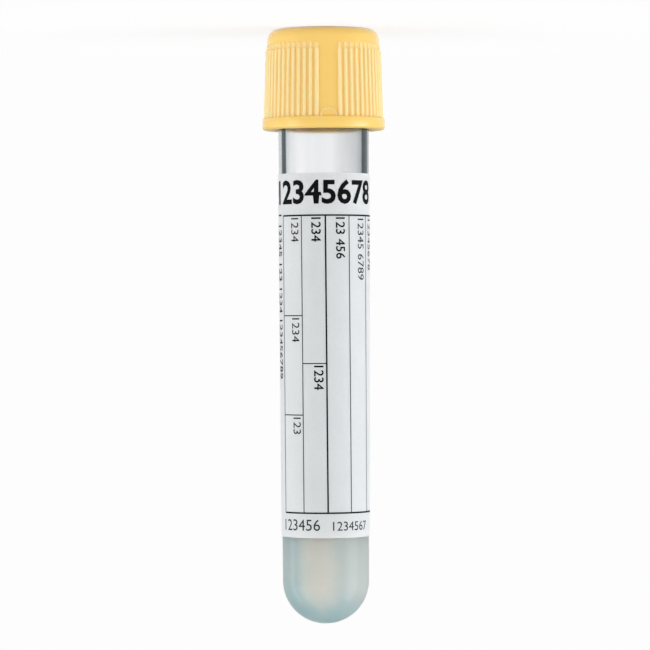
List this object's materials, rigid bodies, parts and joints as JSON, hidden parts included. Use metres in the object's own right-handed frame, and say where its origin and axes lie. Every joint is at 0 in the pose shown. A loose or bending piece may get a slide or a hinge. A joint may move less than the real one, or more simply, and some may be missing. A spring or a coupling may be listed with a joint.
{
  "type": "blood collection tube",
  "caption": "Evacuated blood collection tube: clear round-bottom tube with separator gel and wrapped label, closed by a ribbed pull-off cap with a pierceable stopper.",
  "frame": {"origin": "middle of the bounding box at floor level, the tube standing upside down on the flat top of its cap", "axes": "+Z from the cap up to the round bottom, along the tube's axis; -Y through the front of the label; -X to the label's right-hand side as it is read"},
  "size_m": [0.0168, 0.0168, 0.0819],
  "materials": {
    "clear_plastic": "clear, polished",
    "separator_gel": "milky, wet",
    "label_paper": "coated, satin, printed",
    "cap_plastic": "satin moulded",
    "stopper_rubber": "matt",
    "ring_plastic": "satin moulded"
  },
  "bodies": {
    "closure": {"cap": "cap_plastic", "stopper": "stopper_rubber", "cap_ring": "ring_plastic"},
    "tube_body": {"tube": "clear_plastic", "gel": "separator_gel", "label": "label_paper"}
  },
  "joints": [
    {"name": "closure_pull", "type": "slide", "parent": "closure", "child": "tube_body", "axis": [0, 0, 1], "range_m": [0, 0.012]}
  ]
}
